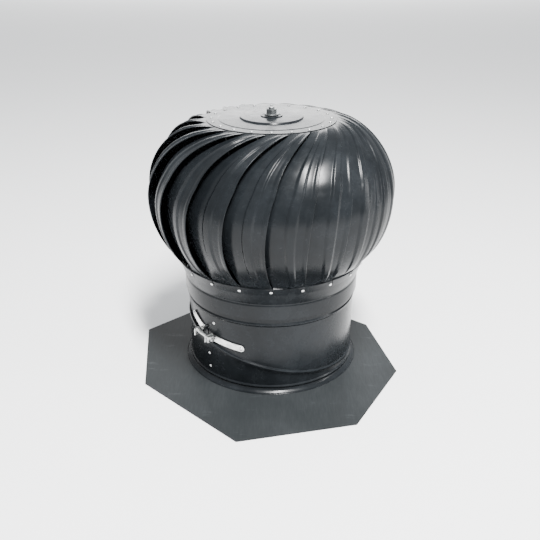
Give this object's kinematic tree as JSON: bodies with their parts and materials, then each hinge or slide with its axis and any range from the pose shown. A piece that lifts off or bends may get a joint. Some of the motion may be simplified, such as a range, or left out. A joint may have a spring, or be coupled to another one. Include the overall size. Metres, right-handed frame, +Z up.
{
  "type": "roof turbine ventilator",
  "caption": "Wind-driven roof turbine ventilator: a spinning head of twisted, ribbed vanes over a slanted swivel throat, on a flat roof flashing.",
  "frame": {"origin": "centre of the throat, on the flat underside of the roof flashing", "axes": "+Z up along the throat and the shaft when the roof is flat; -Y towards the front"},
  "size_m": [0.481, 0.5013, 0.4678],
  "materials": {
    "flashing": "matt dark grey",
    "black_sheet": "gloss black",
    "rivet_steel": "bright",
    "zinc": "zinc plated",
    "plain_steel": "plain"
  },
  "bodies": {
    "base": {"flashing_plate": "flashing", "lower_collar": "black_sheet", "base_seam_rivets": "rivet_steel"},
    "neck": {"upper_collar": "black_sheet", "neck_seam_rivet": "rivet_steel", "strap_near": "zinc", "strap_far": "zinc", "strap_rivets": "rivet_steel", "clamp_nut": "zinc", "shaft_boss": "plain_steel", "brace_arm_1": "plain_steel", "brace_arm_2": "plain_steel", "brace_arm_3": "plain_steel", "brace_rivets": "rivet_steel", "fixed_shaft": "plain_steel", "thrust_collar": "plain_steel", "lock_washer": "zinc", "lock_nut": "zinc"},
    "draw_bolt": {"draw_bolt": "zinc"},
    "rotor": {"crown_plate": "black_sheet", "upper_cup": "plain_steel", "upper_bearing": "plain_steel", "lower_housing": "plain_steel", "lower_bearing": "plain_steel", "head_arm_1": "plain_steel", "head_arm_2": "plain_steel", "head_arm_3": "plain_steel", "head_arm_4": "plain_steel", "vane_ring": "black_sheet", "crown_rivets": "rivet_steel", "foot_rivets": "rivet_steel", "vane_01": "black_sheet", "vane_02": "black_sheet", "vane_03": "black_sheet", "vane_04": "black_sheet", "vane_05": "black_sheet", "vane_06": "black_sheet", "vane_07": "black_sheet", "vane_08": "black_sheet", "vane_09": "black_sheet", "vane_10": "black_sheet", "vane_11": "black_sheet", "vane_12": "black_sheet", "vane_13": "black_sheet", "vane_14": "black_sheet", "vane_15": "black_sheet", "vane_16": "black_sheet", "vane_17": "black_sheet", "vane_18": "black_sheet", "vane_19": "black_sheet", "vane_20": "black_sheet"}
  },
  "joints": [
    {"name": "neck_swivel", "type": "hinge", "parent": "base", "child": "neck", "pos_m": [0, 0, 0.0636], "axis": [0.2462, -0.08, 0.9659], "continuous": true},
    {"name": "rotor_spin", "type": "hinge", "parent": "neck", "child": "rotor", "pos_m": [0, 0, 0.3], "axis": [0, 0, 1], "continuous": true},
    {"name": "draw_bolt_turn", "type": "hinge", "parent": "neck", "child": "draw_bolt", "pos_m": [-0.11921, -0.11117, 0.0945], "axis": [0.6803, -0.7296, -0.0698], "range_deg": [-1080, 0]}
  ]
}
